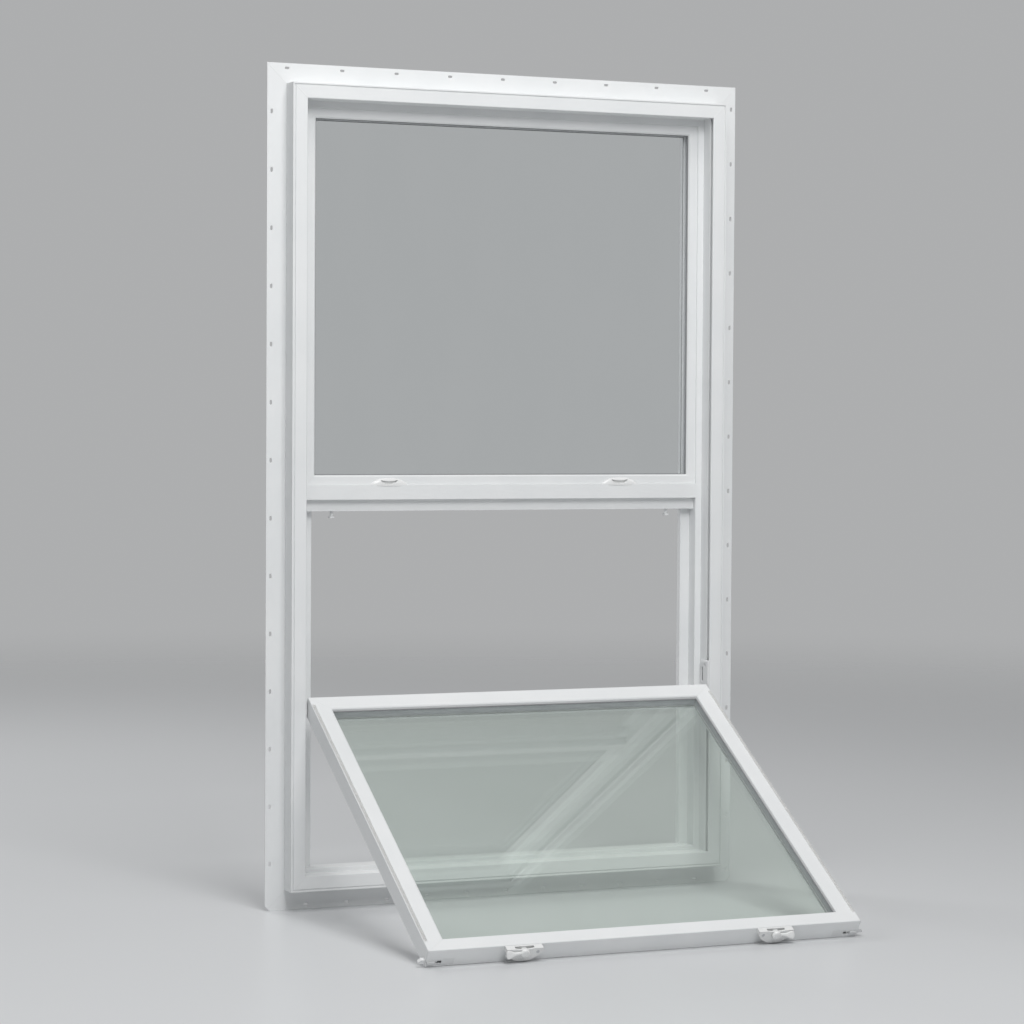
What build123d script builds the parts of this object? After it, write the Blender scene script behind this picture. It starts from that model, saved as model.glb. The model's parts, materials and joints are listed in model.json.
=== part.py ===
from build123d import *

import os
from math import cos, radians, sin

# Single hung tilt-in window of white vinyl, with its lower sash raised and tilted into the room.
# X runs along the sill, Y from the room to the outdoors, Z up, in millimetres. The origin lies on
# the seating face of the nailing fin, at the middle of the sill strip.

# Outer frame
FRAME_WIDTH = 901.7
FRAME_HEIGHT = 1511.3
FRAME_DEPTH = 82.5
FACE_WIDTH = 29.0
ARRIS = 1.0
LIP_WIDTH = 3.0
GROOVE_WIDTH = 2.5
GROOVE_DEPTH = 1.6
TRACK_DEPTH = 42.0
STOP_WIDTH = 13.0
POCKET_DEPTH = 27.0
REAR_LEG_WIDTH = 20.0
SILL_UPSTAND = 8.5

# Nailing fin
FIN_WIDTH = 38.1
FIN_THICK = 2.0
FIN_SETBACK = 38.5
FIN_CORNER_CUT = 9.0
NAIL_SLOT_LENGTH = 9.0
NAIL_SLOT_WIDTH = 4.5
NAIL_EDGE = 9.0
HEAD_NAIL_PITCH = 109.3
JAMB_NAIL_PITCH = 108.4
SILL_NAIL_PITCH = 81.8
HEAD_NAIL_FIRST = 38.7
LEFT_NAIL_FIRST = 90.5
RIGHT_NAIL_FIRST = 44.0
SILL_NAIL_FIRST = 80.8
NAIL_END_MARGIN = 24.0

# Balance channel and shoes
CHANNEL_WALL = 1.8
CHANNEL_WIDTH = 14.0
CHANNEL_DEPTH = 16.0
CHANNEL_LIP = 2.0
SHOE_CLEARANCE = 0.3
SHOE_HEIGHT = 46.0
SHOE_BELOW_PIVOT = 14.0
SHOE_CHAMFER = 2.0
PIVOT_DIAMETER = 6.0
PIVOT_CLEARANCE = 0.3
PIVOT_PAST_FACE = 11.0
PIVOT_INTO_STILE = 14.0

# Fixed meeting rail
RAIL_LEDGE_HEIGHT = 761.5
RAIL_PROUD = 2.0
RAIL_FACE_HEIGHT = 27.7
RAIL_RECESS_HEIGHT = 22.0
RAIL_RECESS_DEPTH = 12.0
RAIL_LEDGE_DEPTH = 5.0

# Insulated glass
PANE_THICK = 3.0
GLASS_UNIT_THICK = 19.0
SPACER_WIDTH = 7.0
SPACER_INSET = 5.0
GLASS_EDGE_GAP = 2.0
UPPER_SIGHT = 18.6
BEAD_SLOPE = 2.5

# Lower sash
SASH_SIDE_GAP = 5.0
SASH_BOTTOM_GAP = 8.5
SASH_TOP_DROP = 1.0
SASH_THICK = 35.0
STILE_WIDTH = 36.6
BOTTOM_RAIL_WIDTH = 37.6
TOP_RAIL_WIDTH = 29.5
GLASS_BITE = 14.6
SASH_BEAD_THICK = 8.0
SASH_LEG_BEVEL = 2.0
PIVOT_ABOVE_BOTTOM = 10.0
SASH_TILT = 121.0
FLOOR_GAP = 1.0
PILE_WIDTH = 6.0
PILE_HEIGHT = 2.0
PILE_EDGE = 1.0
PILE_END_GAP = 24.0

# Sash locks and their keepers
LOCK_SPREAD = 484.0
LOCK_LENGTH = 68.0
LOCK_WIDTH = 27.5
LOCK_EAR_WIDTH = 8.0
LOCK_FLOOR = 3.0
LOCK_ROOF = 3.0
LOCK_ROOF_NOTCH = 1.8
LOCK_EDGE_GAP = 1.0
LOCK_CLEARANCE = 0.5
HUB_FROM_BACK = 8.0
HUB_POST_DIAMETER = 9.0
CAM_THICK = 3.5
CAM_WIDTH = 12.0
CAM_REACH = 17.0
CAM_CORNER = 3.0
LEVER_HUB_DIAMETER = 17.0
LEVER_HUB_HEIGHT = 6.5
LEVER_NECK_WIDTH = 6.0
LEVER_NECK_HEIGHT = 5.0
PADDLE_CENTRE = 25.5
PADDLE_LENGTH = 19.0
PADDLE_WIDTH = 14.0
PADDLE_HEIGHT = 10.0
PADDLE_EDGE_HEIGHT = 4.0
PADDLE_CORNER = 4.0
KEEPER_LENGTH = 66.0
KEEPER_ROOF = 2.5
KEEPER_SLOT_LENGTH = 40.0
KEEPER_HEADROOM = 3.5
KEEPER_BACK_WALL = 1.0
KEEPER_CLEARANCE = 1.0

# Guide pins and tilt latches
PIN_END_DISTANCE = 57.0
PIN_DIAMETER = 6.0
PIN_FOOT_WIDTH = 9.0
PIN_LENGTH = 13.0
PIN_FOOT_HEIGHT = 3.0
LATCH_LENGTH = 52.0
LATCH_WIDTH = 13.0
LATCH_DEPTH = 12.0
LATCH_WALL = 2.0
LATCH_CLEARANCE = 0.5
LATCH_THROW = 12.0
LATCH_BOLT_LENGTH = 34.0
LATCH_TIP_BEVEL = 5.0
BUTTON_LENGTH = 14.0
BUTTON_WIDTH = 5.0
BUTTON_PROUD = 2.0

# Frame levels worked out from the sizes above
HALF_WIDTH = FRAME_WIDTH / 2
BOTTOM = FIN_WIDTH / 2
TOP = BOTTOM + FRAME_HEIGHT
FLOOR = BOTTOM - FIN_WIDTH
ROOM_Y = -FIN_SETBACK
STOP_Y = ROOM_Y + TRACK_DEPTH
POCKET_Y = STOP_Y + POCKET_DEPTH
OUT_Y = ROOM_Y + FRAME_DEPTH
STOP_IN = FACE_WIDTH + STOP_WIDTH
LEG_IN = STOP_IN + REAR_LEG_WIDTH
CHANNEL_Y = ROOM_Y + CHANNEL_WALL
LEDGE = BOTTOM + RAIL_LEDGE_HEIGHT
RAIL_FACE_Y = STOP_Y - RAIL_PROUD

# Sash frame: its plane sits on the tilt axis, with local Z running up the sash
SASH_WIDTH = FRAME_WIDTH - 2 * FACE_WIDTH - 2 * SASH_SIDE_GAP
HALF_SASH = SASH_WIDTH / 2
SASH_HEIGHT = RAIL_LEDGE_HEIGHT - SASH_TOP_DROP - FACE_WIDTH - SASH_BOTTOM_GAP
SASH_LOW = -PIVOT_ABOVE_BOTTOM
SASH_HIGH = SASH_HEIGHT - PIVOT_ABOVE_BOTTOM
SASH_ROOM = -CHANNEL_WALL - CHANNEL_WIDTH / 2
SASH_OUT = SASH_ROOM + SASH_THICK
PIVOT_Y = ROOM_Y - SASH_ROOM
TILT_SIN = sin(radians(SASH_TILT))
TILT_COS = cos(radians(SASH_TILT))
PIVOT_Z = FLOOR + FLOOR_GAP - SASH_ROOM * TILT_SIN - SASH_HIGH * TILT_COS
SASH = Plane(origin=(0, PIVOT_Y, PIVOT_Z), x_dir=(1, 0, 0), z_dir=(0, -TILT_SIN, TILT_COS))
GLASS_OUT = SASH_ROOM + SASH_BEAD_THICK + GLASS_UNIT_THICK

os.makedirs("parts", exist_ok=True)


def save(builder, name):
    """Label a finished piece and write it under its own name."""
    builder.part.label = name
    export_step(builder.part, f"parts/{name}.step")


def sash_level(z):
    """Plane across the sash at height z, for sections that run up the sash."""
    return SASH.offset(z)


def sash_section(x):
    """Plane across a rail of the sash at x, for sections that run along X."""
    return Plane(origin=SASH.from_local_coords((x, 0, 0)), x_dir=SASH.y_dir, z_dir=SASH.x_dir)


def sash_face(y):
    """Plane parallel to the sash's faces at depth y, seen from the room side."""
    return Plane(origin=SASH.from_local_coords((0, y, 0)), x_dir=SASH.x_dir, z_dir=-SASH.y_dir)


def frame_face(y):
    """Plane parallel to the wall at depth y, seen from the room side."""
    return Plane.XZ.offset(-y)


def mitre_plane(base, outer, inner):
    """Plane square to a face through an outer corner and the inner corner across from it."""
    start = base.from_local_coords((outer[0], outer[1], 0))
    along = base.from_local_coords((inner[0], inner[1], 0)) - start
    return Plane(origin=start, x_dir=along, z_dir=along.cross(base.z_dir))


def nail_places(first, pitch, length):
    """Distances along a fin strip of its nail slots, from the end where the row starts."""
    count = int((length - first - NAIL_END_MARGIN) / pitch) + 1
    return [first + index * pitch for index in range(count)]


def member_outline(channel):
    """Section of a frame member: (distance in from the frame's edge, depth) around its outline."""
    channel_notch = []
    if channel:
        behind_lip = FACE_WIDTH - CHANNEL_WALL
        channel_end = CHANNEL_Y + CHANNEL_WIDTH
        channel_notch = [
            (FACE_WIDTH, CHANNEL_Y + CHANNEL_LIP),
            (behind_lip, CHANNEL_Y + CHANNEL_LIP),
            (behind_lip, CHANNEL_Y),
            (FACE_WIDTH - CHANNEL_DEPTH, CHANNEL_Y),
            (FACE_WIDTH - CHANNEL_DEPTH, channel_end),
            (behind_lip, channel_end),
            (behind_lip, channel_end - CHANNEL_LIP),
            (FACE_WIDTH, channel_end - CHANNEL_LIP),
        ]
    return [
        (-FIN_WIDTH, 0),
        (0, 0),
        (0, ROOM_Y),
        (LIP_WIDTH, ROOM_Y),
        (LIP_WIDTH, ROOM_Y + GROOVE_DEPTH),
        (LIP_WIDTH + GROOVE_WIDTH, ROOM_Y + GROOVE_DEPTH),
        (LIP_WIDTH + GROOVE_WIDTH, ROOM_Y),
        (FACE_WIDTH - ARRIS, ROOM_Y),
        (FACE_WIDTH, ROOM_Y + ARRIS),
        *channel_notch,
        (FACE_WIDTH, STOP_Y),
        (STOP_IN - ARRIS, STOP_Y),
        (STOP_IN, STOP_Y + ARRIS),
        (STOP_IN, POCKET_Y),
        (LEG_IN, POCKET_Y),
        (LEG_IN, OUT_Y),
        (0, OUT_Y),
        (0, FIN_THICK),
        (-FIN_WIDTH, FIN_THICK),
    ]


def sill_outline():
    """Section of the sill: (distance up from the frame's edge, depth) around its outline."""
    return [
        (-FIN_WIDTH, 0),
        (0, 0),
        (0, ROOM_Y),
        (LIP_WIDTH, ROOM_Y),
        (LIP_WIDTH, ROOM_Y + GROOVE_DEPTH),
        (LIP_WIDTH + GROOVE_WIDTH, ROOM_Y + GROOVE_DEPTH),
        (LIP_WIDTH + GROOVE_WIDTH, ROOM_Y),
        (FACE_WIDTH - ARRIS, ROOM_Y),
        (FACE_WIDTH, ROOM_Y + ARRIS),
        (FACE_WIDTH, STOP_Y),
        (FACE_WIDTH + SILL_UPSTAND - ARRIS, STOP_Y),
        (FACE_WIDTH + SILL_UPSTAND, STOP_Y + ARRIS),
        (FACE_WIDTH + SILL_UPSTAND, OUT_Y),
        (0, OUT_Y),
        (0, FIN_THICK),
        (-FIN_WIDTH, FIN_THICK),
    ]


def frame_mitre(side, level, inward):
    """Corner plane of the frame at one side, at its top or its bottom edge."""
    outer = (side * HALF_WIDTH, level)
    inner = (side * (HALF_WIDTH - FACE_WIDTH), level + inward * FACE_WIDTH)
    return mitre_plane(Plane.XZ, outer, inner)


def keep_towards(plane, point):
    """Side of a cutting plane on which a point lies."""
    return Keep.TOP if plane.to_local_coords(Vector(*point)).Z > 0 else Keep.BOTTOM


MIDDLE = (0, 0, BOTTOM + FRAME_HEIGHT / 2)


def cross_member(name, outline, level, inward, nail_x):
    """Head or sill of the frame: one section run across it, mitred at both ends."""
    span = FRAME_WIDTH + 2 * FIN_WIDTH
    with BuildPart() as member:
        with BuildSketch(Plane.YZ.offset(-span / 2)):
            with BuildLine():
                Polyline(*[(y, level + inward * u) for u, y in outline], close=True)
            make_face()
        extrude(amount=span)
        for side in (-1, 1):
            corner = frame_mitre(side, level, inward)
            keep = keep_towards(corner, (0, 0, level - inward * FIN_WIDTH))
            split(bisect_by=corner, keep=keep)
        with BuildSketch(frame_face(0)):
            with Locations(*[(x, level - inward * (FIN_WIDTH - NAIL_EDGE)) for x in nail_x]):
                SlotOverall(NAIL_SLOT_LENGTH, NAIL_SLOT_WIDTH)
        extrude(amount=2 * FIN_THICK, both=True, mode=Mode.SUBTRACT)
        if inward > 0:
            cut_fin_corners()
    save(member, name)


def cut_fin_corners():
    """Take the corners off the lower ends of the fin in the part being built."""
    edge = HALF_WIDTH + FIN_WIDTH
    for side in (-1, 1):
        with BuildSketch(frame_face(0)) as corner:
            with BuildLine():
                Polyline(
                    (side * edge, FLOOR),
                    (side * (edge - FIN_CORNER_CUT), FLOOR),
                    (side * edge, FLOOR + FIN_CORNER_CUT),
                    close=True,
                )
            make_face()
        extrude(corner.sketch, amount=2 * FIN_THICK, both=True, mode=Mode.SUBTRACT)


def jamb(name, side, nail_z):
    """Upright of the frame with its balance channel; its stop legs stand on the sill."""
    sill_top = BOTTOM + FACE_WIDTH + SILL_UPSTAND
    with BuildPart() as upright:
        with BuildSketch(Plane.XY.offset(FLOOR)):
            with BuildLine():
                Polyline(*[(side * (HALF_WIDTH - u), y) for u, y in member_outline(True)], close=True)
            make_face()
        extrude(amount=FRAME_HEIGHT + 2 * FIN_WIDTH)
        for level, inward in ((BOTTOM, 1), (TOP, -1)):
            corner = frame_mitre(side, level, inward)
            split(bisect_by=corner, keep=keep_towards(corner, (side * HALF_WIDTH, 0, MIDDLE[2])))
        with BuildSketch(Plane.XY.offset(sill_top)):
            with BuildLine():
                Polyline(
                    (side * (HALF_WIDTH - FACE_WIDTH - SILL_UPSTAND), STOP_Y),
                    (side * (HALF_WIDTH - STOP_IN + ARRIS), STOP_Y),
                    (side * (HALF_WIDTH - STOP_IN), STOP_Y + ARRIS),
                    (side * (HALF_WIDTH - STOP_IN), POCKET_Y),
                    (side * (HALF_WIDTH - LEG_IN), POCKET_Y),
                    (side * (HALF_WIDTH - LEG_IN), OUT_Y),
                    (side * (HALF_WIDTH - FACE_WIDTH - SILL_UPSTAND), OUT_Y),
                    close=True,
                )
            make_face()
        extrude(amount=LEG_IN)
        with BuildSketch(frame_face(0)):
            with Locations(*[(side * (HALF_WIDTH + FIN_WIDTH - NAIL_EDGE), z) for z in nail_z]):
                SlotOverall(NAIL_SLOT_LENGTH, NAIL_SLOT_WIDTH, rotation=90)
        extrude(amount=2 * FIN_THICK, both=True, mode=Mode.SUBTRACT)
        cut_fin_corners()
    save(upright, name)


FIN_LEFT = -HALF_WIDTH - FIN_WIDTH
FIN_TOP = TOP + FIN_WIDTH
FIN_SPAN = FRAME_WIDTH + 2 * FIN_WIDTH
FIN_RISE = FRAME_HEIGHT + 2 * FIN_WIDTH
head_nails = nail_places(HEAD_NAIL_FIRST, HEAD_NAIL_PITCH, FIN_SPAN)
sill_nails = nail_places(SILL_NAIL_FIRST, SILL_NAIL_PITCH, FIN_SPAN)
left_nails = nail_places(LEFT_NAIL_FIRST, JAMB_NAIL_PITCH, FIN_RISE)
right_nails = nail_places(RIGHT_NAIL_FIRST, JAMB_NAIL_PITCH, FIN_RISE)
cross_member("head_frame", member_outline(False), TOP, -1, [FIN_LEFT + d for d in head_nails])
cross_member("sill_frame", sill_outline(), BOTTOM, 1, [FIN_LEFT + d for d in sill_nails])
jamb("left_jamb", -1, [FIN_TOP - d for d in left_nails])
jamb("right_jamb", 1, [FIN_TOP - d for d in right_nails])

# Fixed meeting rail: a ledge with a glass pocket behind it and a stepped back underside
RAIL_HALF = HALF_WIDTH - STOP_IN
RAIL_FOOT = LEDGE - RAIL_FACE_HEIGHT
GLASS_Y = POCKET_Y - GLASS_UNIT_THICK
with BuildPart() as meeting_rail:
    with BuildSketch(Plane.YZ.offset(-RAIL_HALF)):
        with BuildLine():
            Polyline(
                (RAIL_FACE_Y, LEDGE),
                (POCKET_Y, LEDGE),
                (POCKET_Y, RAIL_FOOT - RAIL_RECESS_HEIGHT),
                (RAIL_FACE_Y + RAIL_RECESS_DEPTH, RAIL_FOOT - RAIL_RECESS_HEIGHT),
                (RAIL_FACE_Y + RAIL_RECESS_DEPTH, RAIL_FOOT),
                (RAIL_FACE_Y, RAIL_FOOT),
                close=True,
            )
        make_face()
    extrude(amount=2 * RAIL_HALF)
    with BuildSketch(Plane.YZ.offset(REAR_LEG_WIDTH - RAIL_HALF)):
        with BuildLine():
            Polyline(
                (POCKET_Y, RAIL_FOOT - RAIL_RECESS_HEIGHT),
                (OUT_Y, RAIL_FOOT - RAIL_RECESS_HEIGHT),
                (OUT_Y, LEDGE + UPPER_SIGHT),
                (POCKET_Y, LEDGE + UPPER_SIGHT),
                close=True,
            )
        make_face()
    extrude(amount=2 * (RAIL_HALF - REAR_LEG_WIDTH))
save(meeting_rail, "meeting_rail")

# Upper glass unit: two panes on a spacer, standing on the rail's ledge
LITE_HALF = RAIL_HALF - GLASS_EDGE_GAP
LITE_TOP = TOP - STOP_IN - GLASS_EDGE_GAP
LITE_MID = (LEDGE + LITE_TOP) / 2
LITE_RISE = LITE_TOP - LEDGE


def upper_pane(name, y):
    """One sheet of the upper glass unit, its room face at depth y."""
    with BuildPart() as pane:
        with BuildSketch(frame_face(y)):
            with Locations((0, LITE_MID)):
                Rectangle(2 * LITE_HALF, LITE_RISE)
        extrude(amount=-PANE_THICK)
    save(pane, name)


upper_pane("upper_room_pane", GLASS_Y)
upper_pane("upper_outer_pane", POCKET_Y - PANE_THICK)

with BuildPart() as upper_spacer:
    with BuildSketch(frame_face(GLASS_Y + PANE_THICK)):
        with Locations((0, LITE_MID)):
            Rectangle(2 * (LITE_HALF - SPACER_INSET), LITE_RISE - 2 * SPACER_INSET)
            Rectangle(
                2 * (LITE_HALF - SPACER_INSET - SPACER_WIDTH),
                LITE_RISE - 2 * (SPACER_INSET + SPACER_WIDTH),
                mode=Mode.SUBTRACT,
            )
    extrude(amount=-(GLASS_UNIT_THICK - 2 * PANE_THICK))
save(upper_spacer, "upper_spacer")


# Glazing beads: a bevelled strip along each edge of a glass unit, mitred at its ends
def bead(name, base, outer, inner, thick):
    """Strip between an outer edge and an inner edge on a face plane, its inner arris bevelled."""
    with BuildPart() as strip:
        with BuildSketch(base):
            with BuildLine():
                Polyline(outer[0], outer[1], inner[1], inner[0], close=True)
            make_face()
        extrude(amount=-thick)
        start = base.from_local_coords((*inner[0], 0))
        end = base.from_local_coords((*inner[1], 0))
        arris = strip.edges().sort_by_distance((start + end) * 0.5)[0]
        chamfer(arris, length=BEAD_SLOPE)
    save(strip, name)


def bead_ring(prefix, base, outer_box, inner_box, thick):
    """Four beads round a glass unit, between an outer and an inner rectangle (left, low, right, high)."""
    left, low, right, high = outer_box
    in_left, in_low, in_right, in_high = inner_box
    outer_corners = [(left, low), (right, low), (right, high), (left, high)]
    inner_corners = [(in_left, in_low), (in_right, in_low), (in_right, in_high), (in_left, in_high)]
    for index, place in enumerate(("bottom", "right", "top", "left")):
        following = (index + 1) % 4
        outer = (outer_corners[index], outer_corners[following])
        inner = (inner_corners[index], inner_corners[following])
        bead(f"{prefix}_{place}_bead", base, outer, inner, thick)


SIGHT_HALF = RAIL_HALF - UPPER_SIGHT
bead_ring(
    "upper",
    frame_face(RAIL_FACE_Y + RAIL_LEDGE_DEPTH),
    (-RAIL_HALF, LEDGE, RAIL_HALF, TOP - STOP_IN),
    (-SIGHT_HALF, LEDGE + UPPER_SIGHT, SIGHT_HALF, TOP - STOP_IN - UPPER_SIGHT),
    GLASS_Y - RAIL_FACE_Y - RAIL_LEDGE_DEPTH,
)


# Keepers on the rail's ledge and guide pins under the rail
CAM_LOW = LOCK_FLOOR + LOCK_CLEARANCE
KEEPER_SLOT_LOW = CAM_LOW - SASH_TOP_DROP - KEEPER_CLEARANCE
KEEPER_SLOT_HIGH = CAM_LOW - SASH_TOP_DROP + CAM_THICK + KEEPER_CLEARANCE + KEEPER_HEADROOM


def keeper(name, x):
    """Strike for a sash lock: a low block on the ledge with a cam slot open to the room."""
    with BuildPart() as strike:
        with BuildSketch(Plane.XY.offset(LEDGE)):
            with Locations((x, RAIL_FACE_Y + RAIL_LEDGE_DEPTH / 2)):
                RectangleRounded(KEEPER_LENGTH, RAIL_LEDGE_DEPTH, RAIL_LEDGE_DEPTH / 4)
        extrude(amount=KEEPER_SLOT_HIGH + KEEPER_ROOF)
        slot_depth = RAIL_LEDGE_DEPTH - KEEPER_BACK_WALL
        with BuildSketch(Plane.XY.offset(LEDGE + KEEPER_SLOT_LOW)):
            with Locations((x, RAIL_FACE_Y + slot_depth / 2)):
                Rectangle(KEEPER_SLOT_LENGTH, slot_depth)
        extrude(amount=KEEPER_SLOT_HIGH - KEEPER_SLOT_LOW, mode=Mode.SUBTRACT)
    save(strike, name)


def guide_pin(name, x):
    """Pin with a square foot that hangs under the rail's stepped back part."""
    pin_y = (RAIL_FACE_Y + RAIL_RECESS_DEPTH + POCKET_Y) / 2
    seat = RAIL_FOOT - RAIL_RECESS_HEIGHT
    with BuildPart() as pin:
        with BuildSketch(Plane(origin=(x, pin_y, seat), z_dir=(0, 0, -1))):
            Circle(PIN_DIAMETER / 2)
        extrude(amount=PIN_LENGTH - PIN_FOOT_HEIGHT)
        with BuildSketch(Plane(origin=(x, pin_y, seat - PIN_LENGTH + PIN_FOOT_HEIGHT), z_dir=(0, 0, -1))):
            Rectangle(PIN_FOOT_WIDTH, PIN_FOOT_WIDTH)
        extrude(amount=PIN_FOOT_HEIGHT)
    save(pin, name)


for side, word in ((-1, "left"), (1, "right")):
    keeper(f"{word}_keeper", side * LOCK_SPREAD / 2)
    guide_pin(f"{word}_guide_pin", side * (RAIL_HALF - PIN_END_DISTANCE))


# Balance shoes in the jamb channels, each bored for the sash's pivot
def shoe(name, side):
    """Block held behind the lips of a jamb's channel, which carries one end of the tilt axis."""
    outer = HALF_WIDTH - FACE_WIDTH + CHANNEL_DEPTH - SHOE_CLEARANCE
    inner = HALF_WIDTH - FACE_WIDTH + CHANNEL_WALL + SHOE_CLEARANCE
    with BuildPart() as block:
        with BuildSketch(Plane.XY.offset(PIVOT_Z - SHOE_BELOW_PIVOT)):
            with Locations((side * (outer + inner) / 2, CHANNEL_Y + CHANNEL_WIDTH / 2)):
                Rectangle(outer - inner, CHANNEL_WIDTH - 2 * SHOE_CLEARANCE)
        extrude(amount=SHOE_HEIGHT)
        ends = block.faces().filter_by(Axis.Z)
        chamfer(ends.edges().filter_by(Axis.X), length=SHOE_CHAMFER)
        with BuildSketch(Plane(origin=(side * inner, PIVOT_Y, PIVOT_Z), z_dir=(side, 0, 0))):
            Circle(PIVOT_DIAMETER / 2 + PIVOT_CLEARANCE)
        extrude(amount=outer - inner, mode=Mode.SUBTRACT)
    save(block, name)


for side, word in ((-1, "left"), (1, "right")):
    shoe(f"{word}_balance_shoe", side)


# Sash members: stiles and rails with a glass pocket open to the room side
def sash_outline(width):
    """Section of a sash member: (distance in from the sash's edge, depth) around its outline."""
    return [
        (0, SASH_ROOM),
        (width - GLASS_BITE, SASH_ROOM),
        (width - GLASS_BITE, GLASS_OUT),
        (width, GLASS_OUT),
        (width, SASH_OUT - SASH_LEG_BEVEL),
        (width - SASH_LEG_BEVEL, SASH_OUT),
        (ARRIS, SASH_OUT),
        (0, SASH_OUT - ARRIS),
    ]


def sash_mitre(side, level, inward, rail_width):
    """Corner plane of the sash at one side, at its top or its bottom edge."""
    outer = (side * HALF_SASH, level)
    inner = (side * (HALF_SASH - STILE_WIDTH), level + inward * rail_width)
    return mitre_plane(sash_face(0), outer, inner)


SASH_MITRES = ((SASH_LOW, 1, BOTTOM_RAIL_WIDTH), (SASH_HIGH, -1, TOP_RAIL_WIDTH))


def cut_latch_pocket(side):
    """Sink the seat of a tilt latch into the top edge of the part being built."""
    with BuildSketch(sash_level(SASH_HIGH)) as seat:
        with Locations((side * (HALF_SASH - LATCH_LENGTH / 2), 0)):
            Rectangle(LATCH_LENGTH, LATCH_WIDTH)
    extrude(seat.sketch, amount=-LATCH_DEPTH, mode=Mode.SUBTRACT)


def stile(name, side):
    """Upright of the sash, mitred at both ends and bored for its pivot bar."""
    with BuildPart() as upright:
        with BuildSketch(sash_level(SASH_LOW)):
            with BuildLine():
                Polyline(*[(side * (HALF_SASH - u), y) for u, y in sash_outline(STILE_WIDTH)], close=True)
            make_face()
        extrude(amount=SASH_HEIGHT)
        edge_middle = SASH.from_local_coords((side * HALF_SASH, 0, SASH_HEIGHT / 2))
        for level, inward, rail_width in SASH_MITRES:
            corner = sash_mitre(side, level, inward, rail_width)
            split(bisect_by=corner, keep=keep_towards(corner, edge_middle))
        cut_latch_pocket(side)
        cut_pivot_bore(side)
    save(upright, name)


def cut_pivot_bore(side):
    """Bore the seat of a pivot bar into the part being built."""
    mouth = Plane(origin=SASH.from_local_coords((side * HALF_SASH, 0, 0)), z_dir=(-side, 0, 0))
    with BuildSketch(mouth) as bore:
        Circle(PIVOT_DIAMETER / 2)
    extrude(bore.sketch, amount=PIVOT_INTO_STILE, mode=Mode.SUBTRACT)


def sash_rail(name, level, inward, width):
    """Cross piece of the sash, mitred at both ends."""
    with BuildPart() as rail:
        with BuildSketch(sash_section(-HALF_SASH)):
            with BuildLine():
                Polyline(*[(y, level + inward * u) for u, y in sash_outline(width)], close=True)
            make_face()
        extrude(amount=SASH_WIDTH)
        edge_middle = SASH.from_local_coords((0, 0, level))
        for side in (-1, 1):
            corner = sash_mitre(side, level, inward, width)
            split(bisect_by=corner, keep=keep_towards(corner, edge_middle))
            if inward < 0:
                cut_latch_pocket(side)
            else:
                cut_pivot_bore(side)
    save(rail, name)


stile("sash_left_stile", -1)
stile("sash_right_stile", 1)
sash_rail("sash_bottom_rail", SASH_LOW, 1, BOTTOM_RAIL_WIDTH)
sash_rail("sash_top_rail", SASH_HIGH, -1, TOP_RAIL_WIDTH)

# Sash glass unit
SASH_LITE_HALF = HALF_SASH - STILE_WIDTH + GLASS_BITE - GLASS_EDGE_GAP
SASH_LITE_LOW = SASH_LOW + BOTTOM_RAIL_WIDTH - GLASS_BITE + GLASS_EDGE_GAP
SASH_LITE_HIGH = SASH_HIGH - TOP_RAIL_WIDTH + GLASS_BITE - GLASS_EDGE_GAP
SASH_LITE_MID = (SASH_LITE_LOW + SASH_LITE_HIGH) / 2
SASH_LITE_RISE = SASH_LITE_HIGH - SASH_LITE_LOW
SASH_GLASS_ROOM = GLASS_OUT - GLASS_UNIT_THICK


def sash_pane(name, y):
    """One sheet of the sash's glass unit, its room face at depth y."""
    with BuildPart() as pane:
        with BuildSketch(sash_face(y)):
            with Locations((0, SASH_LITE_MID)):
                Rectangle(2 * SASH_LITE_HALF, SASH_LITE_RISE)
        extrude(amount=-PANE_THICK)
    save(pane, name)


sash_pane("sash_room_pane", SASH_GLASS_ROOM)
sash_pane("sash_outer_pane", GLASS_OUT - PANE_THICK)

with BuildPart() as sash_spacer:
    with BuildSketch(sash_face(SASH_GLASS_ROOM + PANE_THICK)):
        with Locations((0, SASH_LITE_MID)):
            Rectangle(2 * (SASH_LITE_HALF - SPACER_INSET), SASH_LITE_RISE - 2 * SPACER_INSET)
            Rectangle(
                2 * (SASH_LITE_HALF - SPACER_INSET - SPACER_WIDTH),
                SASH_LITE_RISE - 2 * (SPACER_INSET + SPACER_WIDTH),
                mode=Mode.SUBTRACT,
            )
    extrude(amount=-(GLASS_UNIT_THICK - 2 * PANE_THICK))
save(sash_spacer, "sash_spacer")

SASH_BEAD_HALF = HALF_SASH - STILE_WIDTH + GLASS_BITE
bead_ring(
    "sash",
    sash_face(SASH_ROOM),
    (
        -SASH_BEAD_HALF,
        SASH_LOW + BOTTOM_RAIL_WIDTH - GLASS_BITE,
        SASH_BEAD_HALF,
        SASH_HIGH - TOP_RAIL_WIDTH + GLASS_BITE,
    ),
    (
        STILE_WIDTH - HALF_SASH,
        SASH_LOW + BOTTOM_RAIL_WIDTH,
        HALF_SASH - STILE_WIDTH,
        SASH_HIGH - TOP_RAIL_WIDTH,
    ),
    SASH_BEAD_THICK,
)


# Pivot bars, pile seals, locks and latches of the sash
def pivot_bar(name, side):
    """Round bar from the stile's foot into the bore of the balance shoe."""
    reach = SASH_SIDE_GAP + PIVOT_PAST_FACE
    start = SASH.from_local_coords((side * (HALF_SASH - PIVOT_INTO_STILE), 0, 0))
    with BuildPart() as bar:
        with BuildSketch(Plane(origin=start, z_dir=(side, 0, 0))):
            Circle(PIVOT_DIAMETER / 2)
        extrude(amount=PIVOT_INTO_STILE + reach)
    save(bar, name)


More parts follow.
